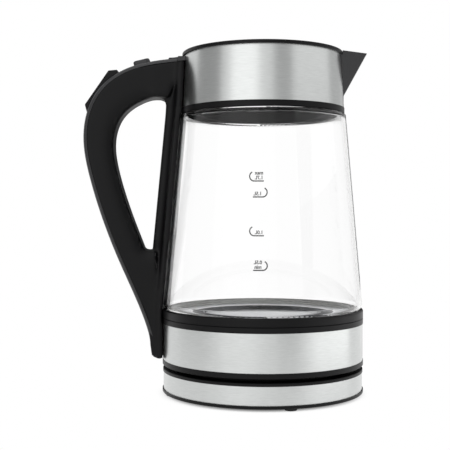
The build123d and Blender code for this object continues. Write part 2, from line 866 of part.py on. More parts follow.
# Lid: domed steel cap
dome_radius = (lid_cap_radius**2 + lid_cap_crown**2) / (2 * lid_cap_crown)
with BuildPart() as lid_cap:
    with BuildSketch(Plane.XZ):
        with BuildLine():
            crown = z_top + lid_cap_crown
            Line((0, crown), (0, crown + lid_cap_sheet))
            RadiusArc((0, crown + lid_cap_sheet), (lid_cap_radius, z_top + lid_cap_sheet), dome_radius)
            Line((lid_cap_radius, z_top + lid_cap_sheet), (lid_cap_radius, z_top))
            RadiusArc((lid_cap_radius, z_top), (0, crown), -dome_radius)
        make_face()
    revolve(axis=Axis.Z)
    split(bisect_by=Plane.YZ.offset(lid_back + edge_break), keep=Keep.TOP)
finish(lid_cap, "lid_cap")

# Lid: seal round the skirt
with BuildPart() as lid_seal:
    with BuildSketch(Plane.XY.offset(z_skirt_foot)):
        lid_plan(lid_seal_radius, lid_back - edge_break)
        lid_bore = lid_skirt_radius + slip_gap
        with BuildSketch(mode=Mode.SUBTRACT):
            lid_plan(lid_bore, lid_back - slip_gap)
    extrude(amount=lid_seal_height)
finish(lid_seal, "lid_seal")


def below_top(out, drop):
    """Point of the handle's side view, out from the jug's radius and down from the rim."""
    return (-(jug_radius + out), z_top - drop)


def on_side(*shares):
    """Points of the handle's side view, as shares of its reach and of the jug's height."""
    return [below_top(handle_reach * out, (z_top - z_jug) * drop) for out, drop in shares]


# Side view of the handle: back, palm side, and the creases where the grip runs into the post
back_curve = [
    (-mouth_radius, z_top - handle_top_drop),
    *on_side(
        (0.129, 0.0311),
        (0.536, 0.0639),
        (0.839, 0.1306),
        (1.000, 0.2584),
        (0.913, 0.4100),
        (0.554, 0.6672),
        (0.251, 0.8423),
        (0.147, 0.9313),
        (0.132, 0.9741),
    ),
]
palm_curve = on_side(
    (0.080, 0.1460),
    (0.308, 0.1650),
    (0.509, 0.2070),
    (0.614, 0.2907),
    (0.588, 0.3575),
    (0.522, 0.4242),
    (0.398, 0.5192),
    (0.214, 0.6385),
)
upper_crease = on_side((-0.097, 0.1460), (-0.196, 0.0768), (-0.340, 0.0768))
lower_crease = on_side((0.064, 0.6385), (0.063, 0.8544), (0.097, 0.9596))
corner_fill = on_side(
    (-0.097, 0.1460),
    (0.055, 0.1460),
    (-0.031, 0.1529),
    (-0.058, 0.1767),
    (-0.097, 0.1767),
)

# Post stations up the jug's back: height, radius of the body there, depth of the nose
z_handle_top = z_top - handle_top_drop
z_handle_foot = z_jug + handle_foot_rise
post_stations = [
    (z_handle_top, collar_top_radius, post_depth),
    (z_trim, trim_radius, post_depth),
    (z_glass, jug_radius, post_depth),
    (z_handle_foot + handle_foot_round, jug_radius, post_foot_depth),
    (z_handle_foot, jug_radius, post_foot_depth - handle_foot_round),
]
flare_mid = sqrt(0.5)

with BuildPart() as handle_grip:
    with BuildSketch(Plane.XZ.offset(grip_half_width)):
        with BuildLine():
            Spline(*back_curve)
            Line(back_curve[-1], lower_crease[-1])
            Polyline(*reversed(lower_crease))
            Line(lower_crease[0], palm_curve[-1])
            Spline(*palm_curve)
            Line(palm_curve[0], upper_crease[0])
            Polyline(*upper_crease)
            Line(upper_crease[-1], back_curve[0])
        make_face()
    extrude(amount=-2 * grip_half_width)
    side_curves = handle_grip.edges().filter_by(GeomType.BSPLINE).sort_by(SortBy.LENGTH)
    fillet(side_curves[:2], palm_fillet)
    side_curves = handle_grip.edges().filter_by(GeomType.BSPLINE).sort_by(SortBy.LENGTH)
    fillet(side_curves[-2:], spine_fillet)

with BuildPart() as handle_post:
    for height, radius, depth in post_stations:
        with BuildSketch(Plane(origin=(-radius, 0, height), x_dir=(-1, 0, 0), z_dir=(0, 0, 1))):
            with BuildLine():
                nose_side = depth - nose_round
                flare = (nose_side - flange_depth, flange_half_width - nose_half_width)
                middle = (nose_side - flare[0] * flare_mid, flange_half_width - flare[1] * flare_mid)
                corner = (nose_side + nose_round * flare_mid, nose_half_width - nose_round * (1 - flare_mid))
                Line((-flange_depth, 0), (-flange_depth, flange_half_width))
                Line((-flange_depth, flange_half_width), (flange_depth, flange_half_width))
                ThreePointArc((flange_depth, flange_half_width), middle, (nose_side, nose_half_width))
                ThreePointArc((nose_side, nose_half_width), corner, (depth, nose_half_width - nose_round))
                Line((depth, nose_half_width - nose_round), (depth, 0))
                mirror(about=Plane.XZ)
            make_face()
    loft(ruled=True)
    side_slab(nose_half_width, *corner_fill)

# Frames of the button, the rocker and the latch
slope = radians(button_tilt)
button_top = below_top(button_out, button_drop)
button_plane = Plane(
    origin=(button_top[0], 0, button_top[1]),
    x_dir=(cos(slope), 0, sin(slope)),
    z_dir=(-sin(slope), 0, cos(slope)),
)
lean = radians(rocker_lean)
rocker_face = below_top(rocker_out, rocker_drop)
rocker_plane = Plane(
    origin=(rocker_face[0], 0, rocker_face[1]),
    x_dir=(cos(lean), 0, sin(lean)),
    z_dir=(0, -1, 0),
)


def on_rocker(along, outwards, y=0.0):
    """Point in the rocker's frame: along its face, outwards from it and across the handle."""
    return tuple(rocker_plane.from_local_coords((along, outwards, -y)))


def on_button(along, outwards):
    """Point of the side view in the button's frame."""
    spot = button_plane.from_local_coords((along, 0, outwards))
    return (spot.X, spot.Z)


# Latch: nose, web and tail, with a sloped window for the button's wedge
z_tail_low = z_latch_tail - latch_height / 2
z_tail_high = z_latch_tail + latch_height / 2
z_nose_low = z_latch_nose - latch_height / 2
z_nose_high = z_latch_nose + latch_height / 2
wedge_tip = on_button(stem_half_length, 0)
stem_slope = tan(slope)
wedge_tip_x = wedge_tip[0] + (wedge_tip[1] - z_tail_low) * stem_slope
ramp_low_x = wedge_tip_x - fit_gap * sqrt(2)
ramp_high_x = ramp_low_x - latch_height
latch_travel = button_travel * (cos(slope) - sin(slope))
button_foot = -spine_cover - fit_gap - button_flange_height
flange_front = on_button(button_length / 2 + button_flange, button_foot - button_travel)
web_back_x = flange_front[0] + latch_travel + run_gap
web_front_x = web_back_x + latch_web
tail_end_x = ramp_high_x - latch_tail
catch_sweep = sqrt(catch_reach**2 + catch_drop**2) + fit_gap
nose_rise = z_hinge - z_nose_high
nose_x = hinge_x - sqrt(catch_sweep**2 - nose_rise**2)
spring_end_x = tail_end_x - latch_spring_length
with BuildPart() as latch_slider:
    side_slab(
        latch_half_width,
        (nose_x, z_nose_low),
        (nose_x, z_nose_high),
        (web_back_x, z_nose_high),
        (web_back_x, z_tail_high),
        (tail_end_x, z_tail_high),
        (tail_end_x, z_tail_low),
        (web_front_x, z_tail_low),
        (web_front_x, z_nose_low),
    )
    side_slab(
        stem_half_width + fit_gap,
        (ramp_low_x + edge_break, z_tail_low - edge_break),
        (ramp_high_x - edge_break, z_tail_high + edge_break),
        (web_back_x, z_tail_high + edge_break),
        (web_back_x, z_tail_low - edge_break),
        mode=Mode.SUBTRACT,
    )
finish(latch_slider, "latch_slider")

with BuildPart() as latch_spring:
    rod(latch_spring_radius, (spring_end_x, 0, z_latch_tail), (tail_end_x - slip_gap, 0, z_latch_tail))
finish(latch_spring, "latch_spring")

# Lid button: cap, retaining flange and wedge stem
stem_foot = -spine_cover - (wedge_tip[1] - z_tail_low) / cos(slope)
with BuildPart() as lid_button:
    with BuildSketch(button_plane.offset(button_foot)):
        Rectangle(2 * stem_half_length, 2 * stem_half_width)
    extrude(amount=stem_foot - button_foot)
    tip_plane = Plane(origin=(wedge_tip_x, 0, z_tail_low), z_dir=(1, 0, 1))
    split(bisect_by=tip_plane, keep=Keep.TOP)
    with BuildSketch(button_plane.offset(button_foot)):
        flange_width = 2 * (button_half_width + button_flange)
        RectangleRounded(button_length + 2 * button_flange, flange_width, button_corner)
    extrude(amount=button_flange_height)
    with BuildSketch(button_plane.offset(button_foot)):
        RectangleRounded(button_length, 2 * button_half_width, button_corner)
    extrude(amount=button_proud - button_foot)
    cap_edges = lid_button.faces().sort_by(Axis.Z)[-1].edges()
    fillet(cap_edges, button_crown)
finish(lid_button, "lid_button")

# Power rocker and its pin
with BuildPart() as power_rocker:
    with BuildSketch(rocker_plane) as rocker_side:
        with BuildLine():
            Polyline(
                (-rocker_half_length, 0),
                (rocker_half_length, 0),
                (rocker_half_length + rocker_flare, -rocker_flank),
                (rocker_half_length + rocker_flare, -rocker_flank - rocker_round),
                (rocker_belly, -rocker_depth),
                (-rocker_belly, -rocker_depth),
                (-rocker_half_length - rocker_flare, -rocker_flank - rocker_round),
                (-rocker_half_length - rocker_flare, -rocker_flank),
                close=True,
            )
        make_face()
        fillet(rocker_side.vertices().sort_by(Axis.Y)[-2:], rocker_round)
    extrude(amount=rocker_half_width, both=True)
    pin_reach = rocker_half_width + rocker_pin_grip
    rocker_pin_ends = [on_rocker(0, -rocker_pivot_depth, reach) for reach in (-pin_reach, pin_reach)]
    rod(rocker_pin_radius + pin_clearance, *rocker_pin_ends, mode=Mode.SUBTRACT)
finish(power_rocker, "power_rocker")

with BuildPart() as rocker_pin:
    rod(rocker_pin_radius, *rocker_pin_ends)
finish(rocker_pin, "rocker_pin")

# Steam switch under the rocker
switch_face = -rocker_pocket_depth - slip_gap
with BuildPart() as steam_switch:
    with BuildSketch(rocker_plane):
        with Locations((0, switch_face - switch_height / 2)):
            Rectangle(switch_length, switch_height)
    extrude(amount=switch_half_width, both=True)
    plunger_tip = switch_face + plunger_height - 2 * edge_break
    rod(plunger_radius, on_rocker(plunger_offset, switch_face), on_rocker(plunger_offset, plunger_tip))
finish(steam_switch, "steam_switch")

# Wires from the steam switch through the post to the control block
wire_start = on_rocker(switch_length / 2 + wire_radius, switch_face - switch_height / 2, wire_side)
wire_end_x = -sqrt(well_radius**2 - wire_side**2) - slip_gap
wire_route = [
    wire_start,
    (-(jug_radius + wire_arm_out), wire_side, z_top - wire_arm_drop),
    (-(collar_bottom_radius + flange_depth), wire_side, z_top - wire_post_drop),
    (-(jug_radius + flange_depth), wire_side, z_glass),
    (-(jug_radius + flange_depth), wire_side, z_jug + wire_rise),
    (wire_end_x, wire_side, z_jug + wire_rise),
]
wire_radii = [wire_bend, wire_bend, wire_bend, wire_turn]
with BuildPart() as switch_wires:
    with BuildLine() as wire_line:
        FilletPolyline(*wire_route, radius=wire_radii)
    with BuildSketch(Plane(origin=wire_route[0], z_dir=wire_line.line % 0)):
        Circle(wire_radius)
    sweep()
finish(switch_wires, "switch_wires")

# Hollows of the handle for the latch, the button, the rocker, the switch, the screws and the wires
with BuildPart() as handle_hollows:
    channel_low = z_tail_low - fit_gap
    channel_high = z_tail_high + fit_gap
    web_clear_x = web_back_x - latch_travel - fit_gap
    side_slab(
        latch_slot,
        (-mouth_radius, latch_slot_high),
        (web_clear_x, latch_slot_high),
        (web_clear_x, channel_high),
        (spring_end_x - slip_gap, channel_high),
        (spring_end_x - slip_gap, channel_low),
        (web_front_x + fit_gap, channel_low),
        (web_front_x + fit_gap, latch_slot_low),
        (-mouth_radius, latch_slot_low),
    )
    with BuildSketch(button_plane.offset(-spine_cover - slip_gap)) as flange_well:
        flange_length = button_length + 2 * (button_flange + fit_gap)
        RectangleRounded(flange_length, 2 * (button_half_width + button_flange + fit_gap), button_corner)
    extrude(flange_well.sketch, amount=-button_flange_height - button_travel - 2 * fit_gap)
    with BuildSketch(button_plane.offset(-spine_cover - button_flange_height)) as cap_hole:
        RectangleRounded(button_length + 2 * fit_gap, 2 * (button_half_width + fit_gap), button_corner)
    extrude(cap_hole.sketch, amount=spine_cover + button_flange_height + button_proud)
    with BuildSketch(button_plane.offset(-spine_cover)) as stem_slot:
        Rectangle(2 * (stem_half_length + fit_gap), 2 * (stem_half_width + fit_gap))
    extrude(stem_slot.sketch, amount=stem_foot - button_travel)
    with BuildSketch(rocker_plane) as rocker_pocket:
        with BuildLine():
            mouth_half = rocker_half_length + rocker_flare + 2 * run_gap
            Polyline((-mouth_half, rocker_depth), (mouth_half, rocker_depth),
                     (mouth_half, -rocker_depth - run_gap), (rocker_half_length, -rocker_pocket_depth),
                     (-rocker_half_length, -rocker_pocket_depth), (-mouth_half, -rocker_depth), close=True)
        make_face()
    extrude(rocker_pocket.sketch, amount=rocker_half_width + run_gap, both=True)
    with BuildSketch(rocker_plane) as switch_pocket:
        with Locations((0, switch_face - switch_height / 2)):
            Rectangle(switch_length + 2 * slip_gap, switch_height + 3 * slip_gap)
    extrude(switch_pocket.sketch, amount=switch_half_width + slip_gap, both=True)
    rod(rocker_pin_radius + pin_clearance, *rocker_pin_ends)
    screw_way = screw_length + fit_gap
    for start in (upper_screw_start, lower_screw_start):
        rod(screw_radius + pin_clearance, start, (start[0] - screw_way, 0, start[2]))
    with BuildLine() as wire_way:
        FilletPolyline(*wire_route, radius=wire_radii)
    with BuildSketch(Plane(origin=wire_route[0], z_dir=wire_way.line % 0)) as wire_section:
        Circle(wire_radius + slip_gap)
    sweep(wire_section.sketch, path=wire_way.line)


def spine_strip(depth):
    """Solid that holds everything within depth of the handle's back."""
    with BuildPart() as strip:
        with BuildSketch(Plane.XZ.offset(flange_half_width)) as band:
            with BuildLine() as spine:
                Spline(*back_curve)
            trace(spine.line, line_width=2 * depth)
        extrude(amount=-2 * flange_half_width)
    return strip.part


cover_strip = spine_strip(spine_cover)
seam_strip = spine_strip(spine_cover + cover_seam)

# Handle: whole moulding, fitted to the jug's back
with BuildPart() as handle_body:
    add(handle_grip.part)
    add(handle_post.part)
    turned(
        (0, z_base_top),
        (jug_radius + slip_gap, z_base_top),
        (jug_radius + slip_gap, z_glass),
        (glass_bottom_radius + slip_gap, z_glass),
        (glass_top_radius + slip_gap, z_trim),
        (trim_radius + slip_gap, z_trim),
        (trim_radius + slip_gap, z_collar),
        (collar_bottom_radius + slip_gap, z_collar),
        (collar_top_radius + slip_gap, z_rim),
        (rim_radius + slip_gap, z_rim),
        (rim_radius + slip_gap, z_top + rim_height),
        (0, z_top + rim_height),
        mode=Mode.SUBTRACT,
    )

# Handle: moulding with the post and the flange
with BuildPart() as handle_shell:
    add(handle_body.part)
    add(seam_strip, mode=Mode.SUBTRACT)
    add(handle_hollows.part, mode=Mode.SUBTRACT)
finish(handle_shell, "handle_shell")

# Handle: strip that closes its back
with BuildPart() as handle_cover:
    add(handle_body.part)
    add(cover_strip, mode=Mode.INTERSECT)
    add(handle_hollows.part, mode=Mode.SUBTRACT)
finish(handle_cover, "handle_cover")

# Handle: screws from inside the collar and the lower housing
with BuildPart() as handle_screws:
    screw(upper_screw_start, back)
    screw(lower_screw_start, back)
finish(handle_screws, "handle_screws")
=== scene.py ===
"""Looks of the glass kettle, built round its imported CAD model.

Metres, +Z up, in the CAD model's own frame: the spout points to +X and the handle to -X.
"""

from math import cos, pi, radians, sin

import bmesh
import bpy
from bpy.props import FloatProperty, FloatVectorProperty, PointerProperty
from mathutils import Euler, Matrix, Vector
from mathutils.bvhtree import BVHTree


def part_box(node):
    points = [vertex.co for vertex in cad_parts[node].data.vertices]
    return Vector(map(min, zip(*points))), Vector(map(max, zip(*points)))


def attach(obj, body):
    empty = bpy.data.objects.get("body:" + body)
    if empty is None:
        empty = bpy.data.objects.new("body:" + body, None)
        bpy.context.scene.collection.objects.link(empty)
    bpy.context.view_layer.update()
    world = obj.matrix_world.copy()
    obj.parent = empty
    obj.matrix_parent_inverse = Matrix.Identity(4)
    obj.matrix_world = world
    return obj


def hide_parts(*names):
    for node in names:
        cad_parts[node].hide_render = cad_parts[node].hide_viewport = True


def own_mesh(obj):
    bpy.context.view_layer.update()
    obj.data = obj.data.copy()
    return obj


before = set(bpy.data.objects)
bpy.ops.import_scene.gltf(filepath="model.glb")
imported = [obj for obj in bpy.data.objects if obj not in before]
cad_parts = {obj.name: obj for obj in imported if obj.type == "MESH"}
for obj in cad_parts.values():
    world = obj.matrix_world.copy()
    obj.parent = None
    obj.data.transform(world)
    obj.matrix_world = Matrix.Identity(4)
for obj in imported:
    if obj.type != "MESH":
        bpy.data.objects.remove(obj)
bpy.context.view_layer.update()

bl_info = {
    "name": "Glass Kettle Looks",
    "version": (1, 0, 0),
    "blender": (4, 5, 0),
    "location": "View3D > Sidebar > Kettle",
    "description": "Dresses the packed glass kettle with its finishes, prints and studio",
    "category": "Object",
}

MM = 0.001
MERGE_DISTANCE = 0.001 * MM
UP = Vector((0, 0, 1))

# Colours of finishes that the panel doesn't list, as sRGB hex values.
WHITE = "#ffffff"
GLASS_SHEEN = "#c0c0c0"
# Darker steel of the heating floor's dish wall: a painted dark reflection.
PAINTED_REFLECTION_STEEL = "#48494b"
BRASS = "#c6a04c"
ALUMINIUM = "#b4b6b8"
SILICONE = "#d8d8d5"
RUBBER = "#1b1b1b"
GLASS_FIBRE = "#b9b6ad"

# Webs that fill the corners between the grip and the post: x, z and half width in millimetres.
# The heights of the lower web's foot are measured from the handle's own foot.
UPPER_WEB = ((-88, 238.5, 10.0), (-76, 237.5, 10.0), (-64, 254, 10.0), (-80, 254, 10.0))
LOWER_WEB = ((-94, 114, 9.5), (-77, 114, 9.5), (-92, 60, 12.6), (-79, 60, 12.6))
LOWER_WEB_FOOT = ((-88.8, 8, 12.8), (-88.5, 3, 12.8), (-86.4, 0.6, 12.4), (-80, 0.6, 12.4))
WEB_THICKNESS = 4

# Where the handle's skin is softened: the webs lie in front of WEB_BACK, and the crowned sides of the
# grip behind GRIP_FRONT, clear of the back strip.
WEB_BACK = -96 * MM
WEB_HALF_WIDTH = 6.5 * MM
LOWER_WEB_TOP = 122 * MM
UPPER_WEB_BOTTOM = 226 * MM
GRIP_FRONT = -87 * MM
GRIP_HALF_WIDTH = 9.4 * MM
STRIP_CLEARANCE = 3 * MM
SKIN_TURNS, WEB_TURNS, CROWN_TURNS = 2, 24, 170

# Springs: the sides of the wire, the steps of one turn, and each spring's wire and turns.
WIRE_SIDES = 10
TURN_STEPS = 20
LID_WIRE, LID_TURNS = 0.5 * MM, 12
LATCH_WIRE, LATCH_TURNS = 0.4 * MM, 5

# Heating floor: the sheet, the run of the dish's wall and the bends at its top and foot. A face whose
# normal has less than LEVEL_FACE of its length upright counts as wall.
FLOOR_SHEET = 0.8 * MM
DISH_WALL_RUN = 2.6 * MM
DISH_BEND = 0.8 * MM
BEND_SEGMENTS = 4
LEVEL_FACE = 0.9
FLOOR_STEPS = 128

# Soft pieces: how far the wires' surface is drawn in from their solids', and the seal of the glass with its
# lip, which ends a little below the top of the ring round it.
WIRE_RELIEF = 0.45 * MM
SEAL_WIDTH = 3.0 * MM
LIP_REACH = 0.06 * MM
LIP_GAP = LIP_REACH / 3
LIP_SET_BACK = 0.3 * MM
GASKET_STEPS = 256

# The glass cone's foot and neck in millimetres: height and outside radius.
JAR_FOOT, JAR_FOOT_RADIUS = 67.5, 79.6
JAR_NECK, JAR_NECK_RADIUS = 221.4, 66.2

# Level marks: height and shift in millimetres, the side of the hook, and the words from below upwards.
# The words stand WORD_RISE strokes over their line, and ROW_RISE letter sizes over each other.
LEVEL_MARKS = (
    (171.7, -0.2, -1, ("1.7L", "max")),
    (157.7, -1.3, 1, ("1.5L",)),
    (123.5, 0.0, -1, ("1.0L",)),
    (92.7, -0.9, 1, ("min", "0.5L")),
)
HOOK_TURN = radians(155)
HOOK_STEPS = 14
WORD_RISE = 1.3
ROW_RISE = 0.95

# Lamps: place in metres, turn in degrees, width and height in metres, and watts.
LAMPS = (
    ("key_lamp", (-0.55, -1.0, 0.95), (50, 0, -29), (0.7, 0.9), 9.0),
    ("fill_lamp", (1.0, -0.6, 0.7), (60, 0, 60), (0.6, 0.9), 6.0),
    ("top_lamp", (0.0, 0.1, 1.3), (0, 0, 0), (0.9, 0.9), 8.0),
)

# Studio cards: bearing from the front towards the spout and width in degrees, distance, bottom and top in
# metres, and light.
CARDS = (
    ("softbox_left", -27, 40, 1.3, 0.0, 2.0, 1.55),
    ("card_left", -84, 44, 1.3, 0.0, 2.0, 0.4),
    ("card_front", 27, 26, 1.5, 0.0, 2.0, 0.5),
    ("card_right", 74, 62, 1.2, 0.0, 0.34, 0.3),
    ("softbox_right", 74, 62, 1.2, 0.34, 2.0, 1.15),
    ("card_back_right", 126, 42, 1.4, 0.0, 2.0, 0.62),
    ("card_back", 180, 56, 1.4, 0.0, 2.0, 0.15),
    ("table_card_left", -76, 40, 0.36, 0.0, 0.05, 0.92),
    ("table_card_front", 24, 20, 0.36, 0.0, 0.05, 0.84),
    ("table_card_step", 37, 6, 0.36, 0.0, 0.05, 1.2),
    ("table_card_mid", 44, 8, 0.36, 0.0, 0.05, 1.75),
    ("table_card_side", 52, 8, 0.36, 0.0, 0.05, 2.4),
    ("table_card_right", 78, 44, 0.36, 0.0, 0.05, 2.55),
    ("table_card_far", 122, 44, 0.36, 0.0, 0.05, 1.1),
)
CARD_STEPS = 12

# Light of the surround on all that isn't seen directly, and the paper floor: its size, and the distances
# from its middle between which it runs out to white.
SURROUND_LIGHT = 0.55
FLOOR_RADIUS = 6.0
FLOOR_SIDES = 64
FADE_START, FADE_END = 0.066, 0.086

# The photograph's camera: sensor and lens in millimetres, place in metres, downward tilt in radians.
CAMERA_SENSOR = 36.0
CAMERA_LENS = 72.7
CAMERA_PLACE = (-0.03004, -0.7296, 0.1414)
CAMERA_TILT = 0.0106


def linear(code):
    """Linear colour of an sRGB hex value."""
    shares = [int(code[i:i + 2], 16) / 255 for i in (1, 3, 5)]
    return [s / 12.92 if s <= 0.04045 else ((s + 0.055) / 1.055) ** 2.4 for s in shares]


def colour(name, description, code):
    """Colour property with its default as an sRGB hex value."""
    return FloatVectorProperty(name=name, description=description, subtype="COLOR", size=3,
                               min=0.0, max=1.0, default=linear(code))


def length(name, description, millimetres):
    """Length property with its default in millimetres."""
    return FloatProperty(name=name, description=description, subtype="DISTANCE", unit="LENGTH",
                         default=millimetres * MM)


class KettleColours(bpy.types.PropertyGroup):
    """Colours of the finishes."""

    handle_black: colour("Moulded black", "Satin ABS of the handle, rings and base", "#080809")
    # The same black plastic as the handle, made paler: a painted highlight on the beak, back strip and
    # button.
    spout_black_painted_highlight: colour("Spout black", "Smoother ABS of the beak, back strip and button", "#1a1a1c")
    inner_black: colour("Inner black", "Heatproof nylon of the inside pieces", "#141415")
    steel: colour("Brushed steel", "Stainless sheet of the bands, collar and lid cap", "#cbcdcc")
    plate: colour("Plate steel", "Stainless floor, springs, screws and pins", "#d8d9db")
    print_grey: colour("Print grey", "Ink of the level marks", "#7c7c7c")
    floor_white: colour("Floor white", "Paper that the kettle stands on", "#f4f4f4")


class KettleSizes(bpy.types.PropertyGroup):
    """Sizes of the printed marks, the handle's skin and the heating floor's dish."""

    stroke: length("Mark stroke", "Width of the printed lines", 1.15)
    line_reach: length("Mark line", "Half of the straight line under the numbers", 4.4)
    hook_radius: length("Hook radius", "Radius of the curved end of a mark", 4.1)
    letter_height: length("Letter size", "Size of the printed numbers", 4.4)
    letter_weight: length("Letter weight", "How far the letters are thickened", 0.17)
    skin_grid: length("Handle skin", "Grid of the handle's one skin", 0.85)
    seam_depth: length("Seam depth", "Depth of the seam round the handle's back strip", 0.6)
    dish_radius: length("Dish radius", "Radius of the pressed dish in the heating floor", 57.0)
    print_lift: length("Print lift", "How far the ink stands off the glass", 0.06)


def add(tree, kind, values=None, links=None, **settings):
    """Add one node: settings are its own, values go to its sockets, links bring in other outputs."""
    made = tree.nodes.new(kind)
    for name, value in settings.items():
        setattr(made, name, value)
    for name, value in (values or {}).items():
        made.inputs[name].default_value = value
    for name, source in (links or {}).items():
        tree.links.new(source, made.inputs[name])
    return made


def new_material(name):
    """Empty material with its shader and output, as (material, tree, shader)."""
    material = bpy.data.materials.new(name)
    material.use_nodes = True
    tree = material.node_tree
    tree.nodes.clear()
    shader = add(tree, "ShaderNodeBsdfPrincipled")
    add(tree, "ShaderNodeOutputMaterial", links={"Surface": shader.outputs["BSDF"]})
    return material, tree, shader


def rgba(tint):
    """Four-part colour."""
    return (*tint, 1.0)


def shade(tint, share):
    """Colour with its light multiplied by a share."""
    return (*[min(1.0, part * share) for part in tint], 1.0)


def moulded_plastic(name, tint, roughness, grain_mm, depth_mm, sheen):
    """Injection-moulded plastic: the spark-eroded mould leaves a fine grain that breaks up the sheen.

    The real grain is finer. It is drawn as coarse as it needs to show.
    """
    cloud_size = 28 * MM
    material, tree, shader = new_material(name)
    place = add(tree, "ShaderNodeTexCoord")
    grain = add(tree, "ShaderNodeTexNoise",
                {"Scale": 1 / (grain_mm * MM), "Detail": 2.0, "Roughness": 0.6},
                {"Vector": place.outputs["Object"]})
    cloud = add(tree, "ShaderNodeTexNoise",
                {"Scale": 1 / cloud_size, "Detail": 3.0, "Roughness": 0.55},
                {"Vector": place.outputs["Object"]})
    rough = add(tree, "ShaderNodeMapRange", {"To Min": roughness - 0.05, "To Max": roughness + 0.06},
                {"Value": cloud.outputs["Fac"]})
    tone = add(tree, "ShaderNodeMix", {"A": shade(tint, 0.92), "B": shade(tint, 1.1)},
               {"Factor": grain.outputs["Fac"]}, data_type="RGBA")
    bump = add(tree, "ShaderNodeBump", {"Strength": 0.35, "Distance": depth_mm * MM},
               {"Height": grain.outputs["Fac"]})
    tree.links.new(tone.outputs["Result"], shader.inputs["Base Color"])
    tree.links.new(rough.outputs["Result"], shader.inputs["Roughness"])
    tree.links.new(bump.outputs["Normal"], shader.inputs["Normal"])
    shader.inputs["IOR"].default_value = 1.46
    shader.inputs["Specular IOR Level"].default_value = sheen
    return material


def brushed_steel(name, tint, roughness, stretch):
    """Stainless sheet brushed along its length: fine level scratches draw reflections out across them.

    Real scratches are finer. They are drawn as coarse as they need to show.
    """
    scratch_size, scratch_depth, cloud_size = 0.5 * MM, 0.03 * MM, 35 * MM
    material, tree, shader = new_material(name)
    place = add(tree, "ShaderNodeTexCoord")
    lay = add(tree, "ShaderNodeMapping", {"Scale": stretch}, {"Vector": place.outputs["Object"]})
    scratch = add(tree, "ShaderNodeTexNoise",
                  {"Scale": 1 / scratch_size, "Detail": 3.0, "Roughness": 0.65},
                  {"Vector": lay.outputs["Vector"]})
    cloud = add(tree, "ShaderNodeTexNoise", {"Scale": 1 / cloud_size, "Detail": 2.0},
                {"Vector": place.outputs["Object"]})
    tone = add(tree, "ShaderNodeMix", {"A": shade(tint, 0.82), "B": shade(tint, 1.16)},
               {"Factor": scratch.outputs["Fac"]}, data_type="RGBA")
    spread = add(tree, "ShaderNodeMath", {1: 0.5}, {0: cloud.outputs["Fac"]}, operation="MULTIPLY")
    joined = add(tree, "ShaderNodeMath", {1: 0.5},
                 {0: scratch.outputs["Fac"], 2: spread.outputs["Value"]}, operation="MULTIPLY_ADD")
    rough = add(tree, "ShaderNodeMapRange", {"To Min": roughness - 0.06, "To Max": roughness + 0.08},
                {"Value": joined.outputs["Value"]})
    bump = add(tree, "ShaderNodeBump", {"Strength": 0.12, "Distance": scratch_depth},
               {"Height": scratch.outputs["Fac"]})
    tangent = add(tree, "ShaderNodeTangent", direction_type="RADIAL", axis="Z")
    tree.links.new(tone.outputs["Result"], shader.inputs["Base Color"])
    tree.links.new(rough.outputs["Result"], shader.inputs["Roughness"])
    tree.links.new(bump.outputs["Normal"], shader.inputs["Normal"])
    tree.links.new(tangent.outputs["Tangent"], shader.inputs["Tangent"])
    shader.inputs["Metallic"].default_value = 1.0
    shader.inputs["Anisotropic"].default_value = 0.6
    shader.inputs["Anisotropic Rotation"].default_value = 0.25
    return material


def worked_metal(name, tint, roughness, grain_mm):
    """Rolled, pressed or turned metal: an even satin with faint cloudy marks from handling and heat."""
    material, tree, shader = new_material(name)
    place = add(tree, "ShaderNodeTexCoord")
    marks = add(tree, "ShaderNodeTexNoise",
                {"Scale": 1 / (grain_mm * MM), "Detail": 4.0, "Roughness": 0.6},
                {"Vector": place.outputs["Object"]})
    tone = add(tree, "ShaderNodeMix", {"A": shade(tint, 0.94), "B": shade(tint, 1.04)},
               {"Factor": marks.outputs["Fac"]}, data_type="RGBA")
    rough = add(tree, "ShaderNodeMapRange", {"To Min": roughness - 0.03, "To Max": roughness + 0.04},
                {"Value": marks.outputs["Fac"]})
    tree.links.new(tone.outputs["Result"], shader.inputs["Base Color"])
    tree.links.new(rough.outputs["Result"], shader.inputs["Roughness"])
    shader.inputs["Metallic"].default_value = 1.0
    return material


def soft_rubber(name, tint, roughness, grain_mm):
    """Moulded rubber or silicone: matt, with a dusty bloom that greys it unevenly."""
    bloom_depth = 0.04 * MM
    material, tree, shader = new_material(name)
    place = add(tree, "ShaderNodeTexCoord")
    bloom = add(tree, "ShaderNodeTexNoise",
                {"Scale": 1 / (grain_mm * MM), "Detail": 4.0, "Roughness": 0.65},
                {"Vector": place.outputs["Object"]})
    tone = add(tree, "ShaderNodeMix", {"A": shade(tint, 0.85), "B": shade(tint, 1.25)},
               {"Factor": bloom.outputs["Fac"]}, data_type="RGBA")
    bump = add(tree, "ShaderNodeBump", {"Strength": 0.25, "Distance": bloom_depth},
               {"Height": bloom.outputs["Fac"]})
    tree.links.new(tone.outputs["Result"], shader.inputs["Base Color"])
    tree.links.new(bump.outputs["Normal"], shader.inputs["Normal"])
    shader.inputs["Roughness"].default_value = roughness
    shader.inputs["IOR"].default_value = 1.41
    return material


